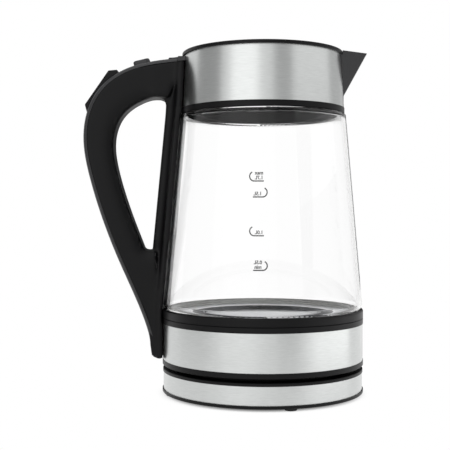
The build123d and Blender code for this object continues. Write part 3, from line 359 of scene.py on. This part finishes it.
def blown_glass(name):
    """Borosilicate glass, blown in a mould: clear, with slow ripples that bend what is seen through it."""
    ripple_size, ripple_depth = 60 * MM, 0.4 * MM
    material, tree, shader = new_material(name)
    place = add(tree, "ShaderNodeTexCoord")
    ripple = add(tree, "ShaderNodeTexNoise", {"Scale": 1 / ripple_size, "Detail": 1.0},
                 {"Vector": place.outputs["Object"]})
    bump = add(tree, "ShaderNodeBump", {"Strength": 0.05, "Distance": ripple_depth},
               {"Height": ripple.outputs["Fac"]})
    tree.links.new(bump.outputs["Normal"], shader.inputs["Normal"])
    shader.inputs["Base Color"].default_value = rgba(linear(WHITE))
    shader.inputs["Roughness"].default_value = 0.0
    shader.inputs["Specular Tint"].default_value = rgba(linear(GLASS_SHEEN))
    shader.inputs["IOR"].default_value = 1.47
    shader.inputs["Transmission Weight"].default_value = 1.0
    return material


def printed_ink(name, tint):
    """Screen-printed enamel ink: matt, with a faint mottle where the screen laid it thin."""
    mottle_size = 0.6 * MM
    material, tree, shader = new_material(name)
    place = add(tree, "ShaderNodeTexCoord")
    mottle = add(tree, "ShaderNodeTexNoise", {"Scale": 1 / mottle_size, "Detail": 2.0},
                 {"Vector": place.outputs["Object"]})
    tone = add(tree, "ShaderNodeMix", {"A": shade(tint, 0.9), "B": shade(tint, 1.12)},
               {"Factor": mottle.outputs["Fac"]}, data_type="RGBA")
    tree.links.new(tone.outputs["Result"], shader.inputs["Base Color"])
    shader.inputs["Roughness"].default_value = 0.7
    return material


def dress(material, *nodes):
    """Give CAD nodes a material."""
    for name in nodes:
        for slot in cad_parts[name].material_slots:
            slot.material = material


def finish_of(node):
    """Material that a CAD node wears."""
    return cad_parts[node].material_slots[0].material


def merged_copy(node):
    """Copy of a CAD node's mesh, with its loose triangles joined."""
    made = bmesh.new()
    made.from_mesh(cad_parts[node].data)
    bmesh.ops.remove_doubles(made, verts=made.verts, dist=MERGE_DISTANCE)
    return made


def sink(made, depth):
    """Draw a closed shape's surface in by a depth."""
    made.normal_update()
    for vert in made.verts:
        vert.co -= vert.normal * depth


def smooth_faces(made):
    """Shade every face smooth."""
    for face in made.faces:
        face.smooth = True


def link_piece(name, made, *materials):
    """Object with a finished shape and its materials, linked to the scene."""
    mesh = bpy.data.meshes.new(name)
    made.to_mesh(mesh)
    made.free()
    for material in materials:
        mesh.materials.append(material)
    piece = bpy.data.objects.new(name, mesh)
    bpy.context.scene.collection.objects.link(piece)
    return piece


def turned(name, profile, *materials, closed, steps):
    """Piece turned about the Z axis from (radius, height) points, with smooth faces."""
    made = bmesh.new()
    chain = [made.verts.new((radius, 0.0, z)) for radius, z in profile]
    for first, second in zip(chain, chain[1:] + chain[:1] if closed else chain[1:]):
        made.edges.new((first, second))
    bmesh.ops.spin(made, geom=made.verts[:] + made.edges[:], axis=UP, cent=(0, 0, 0), angle=2 * pi,
                   steps=steps, use_merge=True)
    bmesh.ops.remove_doubles(made, verts=made.verts, dist=MERGE_DISTANCE)
    bmesh.ops.recalc_face_normals(made, faces=made.faces)
    smooth_faces(made)
    return link_piece(name, made, *materials)


class KETTLE_OT_plastics(bpy.types.Operator):
    """Dress the moulded plastic pieces"""

    bl_idname = "kettle.plastics"
    bl_label = "Moulded plastics"

    def execute(self, context):
        tints = context.scene.kettle_colours
        # Satin ABS from a grained mould: deep black with a low, soft sheen.
        handle = moulded_plastic("abs_moulded_satin_black", tints.handle_black,
                                 roughness=0.38, grain_mm=0.35, depth_mm=0.05, sheen=0.18)
        # Smooth ABS from a finer mould, with a clearer sheen; its paler colour is a painted highlight.
        beak = moulded_plastic("abs_smooth_black_painted_highlight", tints.spout_black_painted_highlight,
                               roughness=0.4, grain_mm=0.3, depth_mm=0.03, sheen=0.6)
        # Heatproof nylon: dull, with a coarser grain.
        inner = moulded_plastic("nylon_moulded_heatproof_black", tints.inner_black,
                                roughness=0.55, grain_mm=0.5, depth_mm=0.05, sheen=0.2)
        dress(handle, "base_tray", "base_cover", "bottom_cover", "lower_housing", "glass_seat_ring",
              "collar_frame", "lid_frame", "handle_shell", "power_rocker")
        dress(beak, "spout", "handle_cover", "lid_button")
        dress(inner, "base_connector", "contact_shutter", "thermostat_control", "spout_filter",
              "latch_slider", "steam_switch")
        return {"FINISHED"}


class KETTLE_OT_handle(bpy.types.Operator):
    """Give the handle one soft skin, with the mould's radii where the grip runs into the post"""

    bl_idname = "kettle.handle"
    bl_label = "Handle moulding"

    def execute(self, context):
        sizes = context.scene.kettle_sizes
        made = merged_copy("handle_shell")
        self.back_the_strip(made, sizes.seam_depth)
        self.fill_the_webs(made)
        piece = link_piece("handle_moulding", made)
        made = self.one_skin(context, piece, sizes.skin_grid)
        self.soften(context, made)
        smooth_faces(made)
        made.to_mesh(piece.data)
        made.free()
        piece.data.materials.append(finish_of("handle_shell"))
        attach(piece, "jug")
        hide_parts("handle_shell")
        return {"FINISHED"}

    def back_the_strip(self, made, depth):
        """Fill the handle behind its back strip, up to the depth of the seam."""
        backing = merged_copy("handle_cover")
        sink(backing, depth)
        mesh = bpy.data.meshes.new("strip_backing")
        backing.to_mesh(mesh)
        backing.free()
        made.from_mesh(mesh)
        bpy.data.meshes.remove(mesh)

    def fill_the_webs(self, made):
        """Add a web on each side where the grip meets the post, above and below."""
        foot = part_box("handle_shell")[0][2] / MM
        lower_foot = tuple((x, foot + rise, reach) for x, rise, reach in LOWER_WEB_FOOT)
        for web in (LOWER_WEB + lower_foot, UPPER_WEB):
            for side in (1, -1):
                points = [made.verts.new((x * MM, side * y * MM, z * MM))
                          for x, z, reach in web for y in (reach - WEB_THICKNESS, reach)]
                bmesh.ops.convex_hull(made, input=points)

    def one_skin(self, context, piece, grid):
        """One closed skin over all that the handle is joined from."""
        skin = piece.modifiers.new("one_skin", "REMESH")
        skin.mode = "VOXEL"
        skin.voxel_size = grid
        context.view_layer.update()
        shaped = bpy.data.meshes.new_from_object(piece.evaluated_get(context.evaluated_depsgraph_get()))
        made = bmesh.new()
        made.from_mesh(shaped)
        piece.modifiers.clear()
        bpy.data.meshes.remove(shaped)
        return made

    def soften(self, context, made):
        """Ease the whole skin, round the webs, and crown the grip's sides without changing its outline."""
        webbed = [v for v in made.verts if v.co.x > WEB_BACK and abs(v.co.y) > WEB_HALF_WIDTH
                  and (v.co.z < LOWER_WEB_TOP or v.co.z > UPPER_WEB_BOTTOM)]
        strip = BVHTree.FromObject(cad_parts["handle_cover"], context.evaluated_depsgraph_get())
        sides = [v for v in made.verts if v.co.x < GRIP_FRONT and abs(v.co.y) > GRIP_HALF_WIDTH
                 and strip.find_nearest(v.co)[3] > STRIP_CLEARANCE]
        passes = ((SKIN_TURNS, made.verts[:], True), (WEB_TURNS, webbed, True), (CROWN_TURNS, sides, False))
        for turns, verts, outline in passes:
            for _ in range(turns):
                bmesh.ops.smooth_vert(made, verts=verts, factor=0.5, use_axis_x=outline, use_axis_y=True,
                                      use_axis_z=outline)


class KETTLE_OT_metals(bpy.types.Operator):
    """Dress the steel, brass and aluminium pieces"""

    bl_idname = "kettle.metals"
    bl_label = "Metals"

    def execute(self, context):
        tints = context.scene.kettle_colours
        # Bands brushed round their girth: reflections are drawn out up and down.
        around = brushed_steel("stainless_steel_brushed_round", tints.steel,
                               roughness=0.3, stretch=(0.07, 0.07, 1.0))
        # Lid cap brushed straight, from the handle to the spout.
        across = brushed_steel("stainless_steel_brushed_flat", tints.steel,
                               roughness=0.32, stretch=(0.07, 1.0, 0.07))
        # Pressed steel is a bright satin, turned brass warm and yellow, rolled aluminium paler and duller.
        plate = worked_metal("stainless_steel_pressed", tints.plate, roughness=0.34, grain_mm=9.0)
        brass = worked_metal("brass_turned", linear(BRASS), roughness=0.3, grain_mm=4.0)
        aluminium = worked_metal("aluminium_rolled", linear(ALUMINIUM), roughness=0.42, grain_mm=6.0)
        dress(around, "base_band", "lower_band", "collar_band")
        dress(across, "lid_cap")
        dress(plate, "heating_plate", "heating_element", "hinge_pin", "rocker_pin", "lid_spring",
              "latch_spring", "base_screws", "bottom_screws", "handle_screws")
        dress(brass, "base_contacts", "control_contacts")
        dress(aluminium, "heat_spreader")
        return {"FINISHED"}


def coil(node, axis, wire, turns):
    """Wire coil in the place of a spring's plain CAD solid, wound along an axis."""
    low, high = (Vector(corner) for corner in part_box(node))
    along = Vector(axis)
    span = (high - low).dot(along)
    start = (low + high) / 2
    start -= along * span / 2
    clear = wire / 2
    radius = (high.z - low.z) / 2 - clear
    steps = turns * TURN_STEPS
    facing = UP.rotation_difference(along.cross(UP)).to_matrix()
    made = bmesh.new()
    bmesh.ops.create_circle(made, segments=WIRE_SIDES, radius=clear)
    bmesh.ops.rotate(made, verts=made.verts, cent=(0, 0, 0), matrix=facing)
    bmesh.ops.translate(made, verts=made.verts, vec=start + along * clear + Vector((0, 0, radius)))
    bmesh.ops.spin(made, geom=made.verts[:] + made.edges[:], axis=along, cent=start,
                   dvec=along * (span - wire) / steps, angle=2 * pi * turns, steps=steps)
    bmesh.ops.holes_fill(made, edges=made.edges, sides=WIRE_SIDES)
    bmesh.ops.recalc_face_normals(made, faces=made.faces)
    smooth_faces(made)
    return link_piece(node + "_coil", made, finish_of(node))


class KETTLE_OT_springs(bpy.types.Operator):
    """Wind the springs of the lid and the latch"""

    bl_idname = "kettle.springs"
    bl_label = "Springs"

    def execute(self, context):
        lid = coil("lid_spring", (0, 1, 0), LID_WIRE, LID_TURNS)
        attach(lid, "lid")
        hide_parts("lid_spring")
        latch = coil("latch_spring", (1, 0, 0), LATCH_WIRE, LATCH_TURNS)
        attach(latch, "jug")
        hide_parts("latch_spring")
        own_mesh(latch)
        return {"FINISHED"}


class KETTLE_OT_heating_floor(bpy.types.Operator):
    """Press the heating floor's dish with a steep wall and tight bends"""

    bl_idname = "kettle.heating_floor"
    bl_label = "Heating floor"

    def execute(self, context):
        rim = context.scene.kettle_sizes.dish_radius
        low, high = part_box("heating_plate")
        bottom = low[2] + FLOOR_SHEET
        profile = [(high[0], high[2]), (rim, high[2]), (rim - DISH_WALL_RUN, bottom), (0.0, bottom)]
        # The dish's wall wears a darker steel, a painted dark reflection that shows as a dark ring in the
        # bright floor.
        painted_reflection = worked_metal("steel_wall_painted_dark_reflection", linear(PAINTED_REFLECTION_STEEL), roughness=0.3, grain_mm=4.0)
        piece = turned("heating_floor", profile, finish_of("heating_plate"), painted_reflection, closed=False,
                       steps=FLOOR_STEPS)
        for face in piece.data.polygons:
            face.material_index = 1 if abs(face.normal.z) < LEVEL_FACE else 0
        bends = piece.modifiers.new("bends", "BEVEL")
        bends.width = DISH_BEND
        bends.segments = BEND_SEGMENTS
        bends.limit_method = "ANGLE"
        thick = piece.modifiers.new("sheet", "SOLIDIFY")
        thick.thickness = FLOOR_SHEET
        thick.offset = 1.0 if piece.data.polygons[0].normal.z < 0 else -1.0
        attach(piece, "jug")
        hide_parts("heating_plate")
        return {"FINISHED"}


class KETTLE_OT_soft_pieces(bpy.types.Operator):
    """Dress the seals, feet, gland and wires"""

    bl_idname = "kettle.soft_pieces"
    bl_label = "Seals, feet and wires"

    def execute(self, context):
        # Silicone is pale and satin, rubber a dull black, woven glass fibre chalky.
        silicone = soft_rubber("silicone_moulded_grey", linear(SILICONE), roughness=0.5, grain_mm=3.0)
        rubber = soft_rubber("rubber_moulded_black", linear(RUBBER), roughness=0.75, grain_mm=2.0)
        sleeve = soft_rubber("glass_fibre_sleeve_white", linear(GLASS_FIBRE), roughness=0.8, grain_mm=1.0)
        dress(silicone, "glass_seal", "collar_seal", "lid_seal")
        dress(rubber, "base_feet", "cord_gland")
        dress(sleeve, "switch_wires")
        self.lip_the_glass(silicone)
        self.sleeve_the_wires(sleeve)
        return {"FINISHED"}

    def lip_the_glass(self, silicone):
        """Seal under the glass with a thin lip up its outside."""
        low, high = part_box("glass_seal")
        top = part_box("glass_seat_ring")[1][2] - LIP_SET_BACK
        inside = high[0] - SEAL_WIDTH
        glass = high[0] + LIP_GAP
        outside = high[0] + LIP_REACH
        profile = [(inside, low[2]), (outside, low[2]), (outside, top), (glass, top), (glass, high[2]),
                   (inside, high[2])]
        piece = turned("glass_gasket", profile, silicone, closed=True, steps=GASKET_STEPS)
        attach(piece, "jug")
        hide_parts("glass_seal")

    def sleeve_the_wires(self, sleeve):
        """Wires in thin sleeves that leave the button its travel."""
        made = merged_copy("switch_wires")
        sink(made, WIRE_RELIEF)
        smooth_faces(made)
        piece = link_piece("switch_wire_sleeves", made, sleeve)
        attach(piece, "jug")
        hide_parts("switch_wires")


class KETTLE_OT_glass(bpy.types.Operator):
    """Dress the glass jar"""

    bl_idname = "kettle.glass"
    bl_label = "Glass jar"

    def execute(self, context):
        dress(blown_glass("borosilicate_glass_blown"), "glass_jar")
        return {"FINISHED"}


def jar_radius(z):
    """Outside radius of the glass cone at a height."""
    low, high = JAR_FOOT * MM, JAR_NECK * MM
    share = (z - low) / (high - low)
    return JAR_FOOT_RADIUS * MM + (JAR_NECK_RADIUS - JAR_FOOT_RADIUS) * MM * share


def wrap_on_jar(mesh, lift):
    """Lay a flat mesh, drawn as seen from the front, on the far wall of the jar."""
    for vert in mesh.vertices:
        across, z = vert.co.x, vert.co.y
        radius = jar_radius(z) + lift
        vert.co = (radius * sin(across / radius), radius * cos(across / radius), z)


class KETTLE_OT_level_marks(bpy.types.Operator):
    """Print the level marks on the far wall of the jar"""

    bl_idname = "kettle.level_marks"
    bl_label = "Level marks"

    def execute(self, context):
        sizes = context.scene.kettle_sizes
        ink = printed_ink("enamel_ink_screen_printed", context.scene.kettle_colours.print_grey)
        whole = bmesh.new()
        for height, shift, side, words in LEVEL_MARKS:
            place = Vector((shift * MM, height * MM))
            self.draw_line(whole, sizes, place, side)
            for row, word in enumerate(words):
                self.draw_word(whole, sizes, place, row, word)
        piece = link_piece("level_marks", whole, ink)
        wrap_on_jar(piece.data, sizes.print_lift)
        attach(piece, "jug")
        return {"FINISHED"}

    def draw_line(self, whole, sizes, place, side):
        """Straight line with a hook at one end, as a flat ribbon."""
        straight = [(-side * sizes.line_reach, 0.0), (0.0, 0.0), (side * sizes.line_reach, 0.0)]
        hook = []
        for step in range(1, HOOK_STEPS + 1):
            turn = HOOK_TURN * step / HOOK_STEPS
            hook.append((side * (sizes.line_reach + sizes.hook_radius * sin(turn)),
                         sizes.hook_radius * (1 - cos(turn))))
        route = [Vector(point) for point in straight + hook]
        before = None
        for index, point in enumerate(route):
            ahead = route[min(index + 1, len(route) - 1)] - route[max(index - 1, 0)]
            normal = Vector((-ahead.y, ahead.x)).normalized() * sizes.stroke / 2
            pair = [whole.verts.new((*(point + normal * sign + place), 0)) for sign in (1, -1)]
            if before:
                whole.faces.new((before[0], before[1], pair[1], pair[0]))
            before = pair

    def draw_word(self, whole, sizes, place, row, word):
        """One row of letters, mirrored so that they read from the far side."""
        curve = bpy.data.curves.new("word", "FONT")
        curve.body = word
        curve.size = sizes.letter_height
        curve.offset = sizes.letter_weight
        curve.align_x = "CENTER"
        shown = bpy.data.objects.new("word", curve)
        bpy.context.scene.collection.objects.link(shown)
        bpy.context.view_layer.update()
        mesh = bpy.data.meshes.new_from_object(shown.evaluated_get(bpy.context.evaluated_depsgraph_get()))
        bpy.data.objects.remove(shown)
        rise = sizes.stroke * WORD_RISE + row * sizes.letter_height * ROW_RISE
        for vert in mesh.vertices:
            vert.co = (place.x - vert.co.x, place.y + vert.co.y + rise, 0.0)
        whole.from_mesh(mesh)
        bpy.data.meshes.remove(mesh)


def area_light(name, place, turn, size, power):
    """Soft rectangular lamp that neither sheen nor glass shows."""
    lamp = bpy.data.lights.new(name, "AREA")
    lamp.shape = "RECTANGLE"
    lamp.size, lamp.size_y = size
    lamp.energy = power
    held = bpy.data.objects.new(name, lamp)
    held.location = place
    held.rotation_euler = Euler([radians(angle) for angle in turn])
    held.visible_glossy = False
    held.visible_transmission = False
    bpy.context.scene.collection.objects.link(held)


def seen_directly(tree):
    """Output that is 1 for what the eye, sheen and glass see, and 0 for the light on all the rest."""
    path = add(tree, "ShaderNodeLightPath")
    eye_or_sheen = add(tree, "ShaderNodeMath", operation="MAXIMUM",
                       links={0: path.outputs["Is Camera Ray"], 1: path.outputs["Is Glossy Ray"]})
    or_glass = add(tree, "ShaderNodeMath", operation="MAXIMUM",
                   links={0: eye_or_sheen.outputs["Value"], 1: path.outputs["Is Transmission Ray"]})
    return or_glass.outputs["Value"]


class KETTLE_OT_stage(bpy.types.Operator):
    """Set the floor, the light and the camera"""

    bl_idname = "kettle.stage"
    bl_label = "Stage"

    def execute(self, context):
        scene = context.scene
        scene.view_settings.view_transform = "Standard"
        self.set_world(scene)
        self.set_floor(scene)
        self.set_cards()
        for lamp in LAMPS:
            area_light(*lamp)
        self.set_camera(scene)
        return {"FINISHED"}

    def set_world(self, scene):
        """White surround for what the eye, metal and glass see, and a plain even light for the rest."""
        world = bpy.data.worlds.new("studio_surround")
        world.use_nodes = True
        tree = world.node_tree
        tree.nodes.clear()
        light = add(tree, "ShaderNodeBackground",
                    {"Color": rgba(linear(WHITE)), "Strength": SURROUND_LIGHT})
        white = add(tree, "ShaderNodeBackground", {"Color": rgba(linear(WHITE)), "Strength": 1.0})
        mixed = add(tree, "ShaderNodeMixShader",
                    links={0: seen_directly(tree), 1: light.outputs["Background"],
                           2: white.outputs["Background"]})
        add(tree, "ShaderNodeOutputWorld", links={"Surface": mixed.outputs["Shader"]})
        scene.world = world

    def set_floor(self, scene):
        """Round sheet of pale paper."""
        made = bmesh.new()
        bmesh.ops.create_circle(made, cap_ends=True, segments=FLOOR_SIDES, radius=FLOOR_RADIUS)
        floor = link_piece("floor", made, self.floor_paper(scene.kettle_colours.floor_white))

    def floor_paper(self, tint):
        """Uncoated paper: matt, with faint fibres. It keeps the kettle's shadow and runs out to white."""
        fibre_size = 2 * MM
        material, tree, shader = new_material("paper_floor_white")
        place = add(tree, "ShaderNodeTexCoord")
        fibre = add(tree, "ShaderNodeTexNoise", {"Scale": 1 / fibre_size},
                    {"Vector": place.outputs["Object"]})
        tone = add(tree, "ShaderNodeMix", {"A": shade(tint, 0.99), "B": shade(tint, 1.01)},
                   {"Factor": fibre.outputs["Fac"]}, data_type="RGBA")
        tree.links.new(tone.outputs["Result"], shader.inputs["Base Color"])
        shader.inputs["Roughness"].default_value = 0.9
        shader.inputs["Specular IOR Level"].default_value = 0.0
        away = add(tree, "ShaderNodeVectorMath", links={0: place.outputs["Object"]}, operation="LENGTH")
        fade = add(tree, "ShaderNodeMapRange", {"From Min": FADE_START, "From Max": FADE_END},
                   {"Value": away.outputs["Value"]}, interpolation_type="SMOOTHSTEP")
        share = add(tree, "ShaderNodeMath", links={0: fade.outputs["Result"], 1: seen_directly(tree)},
                    operation="MULTIPLY")
        white = add(tree, "ShaderNodeEmission", {"Color": rgba(linear(WHITE)), "Strength": 1.0})
        mixed = add(tree, "ShaderNodeMixShader",
                    links={0: share.outputs["Value"], 1: shader.outputs["BSDF"],
                           2: white.outputs["Emission"]})
        output = next(node for node in tree.nodes if node.type == "OUTPUT_MATERIAL")
        tree.links.new(mixed.outputs["Shader"], output.inputs["Surface"])
        return material

    def set_cards(self):
        """Bright and dark cards round the kettle that only sheen picks up."""
        for name, bearing, width, distance, bottom, top, light in CARDS:
            material = bpy.data.materials.new(name + "_paper")
            material.use_nodes = True
            tree = material.node_tree
            tree.nodes.clear()
            glow = add(tree, "ShaderNodeEmission", {"Color": rgba(linear(WHITE)), "Strength": light})
            add(tree, "ShaderNodeOutputMaterial", links={"Surface": glow.outputs["Emission"]})
            made = bmesh.new()
            first = radians(bearing - width / 2)
            corner = made.verts.new((distance * sin(first), -distance * cos(first), bottom))
            bmesh.ops.spin(made, geom=[corner], axis=UP, cent=(0, 0, 0), angle=radians(width),
                           steps=CARD_STEPS)
            risen = bmesh.ops.extrude_edge_only(made, edges=made.edges[:])["geom"]
            upper = [part for part in risen if isinstance(part, bmesh.types.BMVert)]
            bmesh.ops.translate(made, vec=(0, 0, top - bottom), verts=upper)
            card = link_piece(name, made, material)
            card.visible_camera = False
            card.visible_diffuse = False
            card.visible_shadow = False
            card.visible_transmission = False

    def set_camera(self, scene):
        """Camera at the photograph's viewing angle."""
        camera = bpy.data.cameras.new("photo_camera")
        camera.sensor_width = CAMERA_SENSOR
        camera.lens = CAMERA_LENS
        held = bpy.data.objects.new("photo_camera", camera)
        held.location = CAMERA_PLACE
        held.rotation_euler = (pi / 2 - CAMERA_TILT, 0, 0)
        scene.collection.objects.link(held)
        scene.camera = held


class KETTLE_PT_panel(bpy.types.Panel):
    """Kettle looks"""

    bl_idname = "KETTLE_PT_panel"
    bl_label = "Kettle"
    bl_space_type = "VIEW_3D"
    bl_region_type = "UI"
    bl_category = "Kettle"

    def draw(self, context):
        for operator in OPERATORS:
            self.layout.operator(operator.bl_idname)
        for group in (context.scene.kettle_colours, context.scene.kettle_sizes):
            for name in group.__annotations__:
                self.layout.prop(group, name)


OPERATORS = (
    KETTLE_OT_stage,
    KETTLE_OT_plastics,
    KETTLE_OT_handle,
    KETTLE_OT_metals,
    KETTLE_OT_springs,
    KETTLE_OT_heating_floor,
    KETTLE_OT_soft_pieces,
    KETTLE_OT_glass,
    KETTLE_OT_level_marks,
)
CLASSES = (KettleColours, KettleSizes, *OPERATORS, KETTLE_PT_panel)


def register():
    """Add the classes and the scene's two groups of properties."""
    for kind in CLASSES:
        bpy.utils.register_class(kind)
    bpy.types.Scene.kettle_colours = PointerProperty(type=KettleColours)
    bpy.types.Scene.kettle_sizes = PointerProperty(type=KettleSizes)


def unregister():
    """Take them away again."""
    del bpy.types.Scene.kettle_sizes
    del bpy.types.Scene.kettle_colours
    for kind in reversed(CLASSES):
        bpy.utils.unregister_class(kind)


def main():
    """Dress the kettle piece by piece."""
    register()
    bpy.ops.kettle.stage()
    bpy.ops.kettle.plastics()
    bpy.ops.kettle.handle()
    bpy.ops.kettle.metals()
    bpy.ops.kettle.springs()
    bpy.ops.kettle.heating_floor()
    bpy.ops.kettle.soft_pieces()
    bpy.ops.kettle.glass()
    bpy.ops.kettle.level_marks()


if __name__ == "__main__":
    main()
